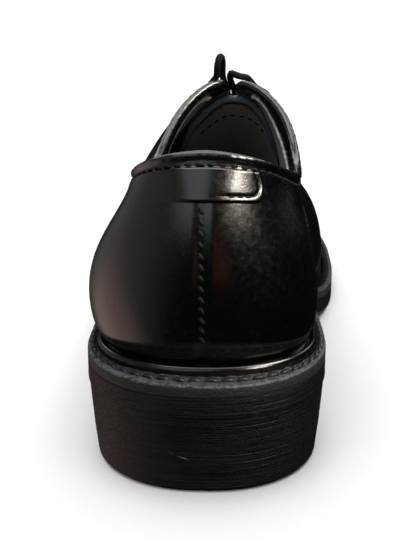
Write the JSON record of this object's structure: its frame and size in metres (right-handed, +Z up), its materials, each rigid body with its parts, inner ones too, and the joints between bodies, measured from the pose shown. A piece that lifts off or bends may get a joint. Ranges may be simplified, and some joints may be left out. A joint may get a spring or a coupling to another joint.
{
  "type": "work shoe",
  "caption": "Low black leather lace-up work shoe for the left foot, with welted rubber sole, block heel, rolled collar binding and heel tab, hollow and open at the collar.",
  "frame": {"origin": "on the floor under the middle of the shoe's length and width", "axes": "+Y from heel to toe, +Z up, +X to the medial side of this left shoe"},
  "size_m": [0.1008, 0.296, 0.1142],
  "materials": {
    "heel_rubber": "matte charcoal rubber with fine brushed lines",
    "sole_rubber": "matte charcoal rubber, trimmed edge",
    "welt_leather": "black waxed welt leather, stitched",
    "insole_leather": "dark insole sock",
    "black_leather": "polished smooth black leather",
    "binding_leather": "glossy rolled black leather",
    "tongue_leather": "black leather, dark lined on the inside",
    "black_enamel": "black enamelled eyelets",
    "lace_cotton": "matte black woven lace"
  },
  "bodies": {
    "root": {"heel_block": "heel_rubber", "outsole": "sole_rubber", "welt": "welt_leather", "insole": "insole_leather", "upper": "black_leather", "heel_tab": "black_leather", "collar_binding": "binding_leather", "tongue": "tongue_leather", "eyelet_lateral_1": "black_enamel", "eyelet_lateral_2": "black_enamel", "eyelet_lateral_3": "black_enamel", "eyelet_lateral_4": "black_enamel", "eyelet_lateral_5": "black_enamel", "eyelet_medial_1": "black_enamel", "eyelet_medial_2": "black_enamel", "eyelet_medial_3": "black_enamel", "eyelet_medial_4": "black_enamel", "eyelet_medial_5": "black_enamel", "lace_crossings": "lace_cotton", "lace_end_lateral": "lace_cotton", "lace_end_medial": "lace_cotton"}
  },
  "joints": []
}
